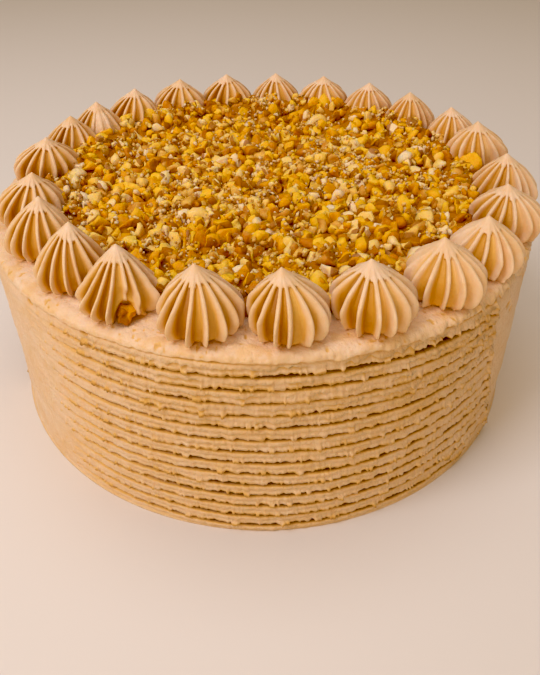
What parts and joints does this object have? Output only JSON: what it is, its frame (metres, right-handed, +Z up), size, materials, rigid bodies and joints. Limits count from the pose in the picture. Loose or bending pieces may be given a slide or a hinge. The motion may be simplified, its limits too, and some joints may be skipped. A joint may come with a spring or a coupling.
{
  "type": "carrot cake",
  "caption": "Whole round carrot cake in combed buttercream, with a ring of piped rosettes on the rim and chopped walnuts heaped inside it.",
  "frame": {"origin": "centre of the underside, on the surface the cake stands on", "axes": "+Z up; -Y towards the front, the side with the stray walnut and the torn second comb mark; +X to the right seen from the front"},
  "size_m": [0.2453, 0.2459, 0.1082],
  "materials": {
    "frosting": "soft satin buttercream, beige with fine grain",
    "walnut": "chopped walnut, cream to amber, dull with small oily glints"
  },
  "bodies": {
    "root": {"cake": "frosting", "rosette_01": "frosting", "rosette_02": "frosting", "rosette_03": "frosting", "rosette_04": "frosting", "rosette_05": "frosting", "rosette_06": "frosting", "rosette_07": "frosting", "rosette_08": "frosting", "rosette_09": "frosting", "rosette_10": "frosting", "rosette_11": "frosting", "rosette_12": "frosting", "rosette_13": "frosting", "rosette_14": "frosting", "rosette_15": "frosting", "rosette_16": "frosting", "rosette_17": "frosting", "rosette_18": "frosting", "rosette_19": "frosting", "rosette_20": "frosting", "rosette_21": "frosting", "rosette_22": "frosting", "rosette_23": "frosting", "walnut_topping": "walnut", "stray_walnut": "walnut"}
  },
  "joints": []
}
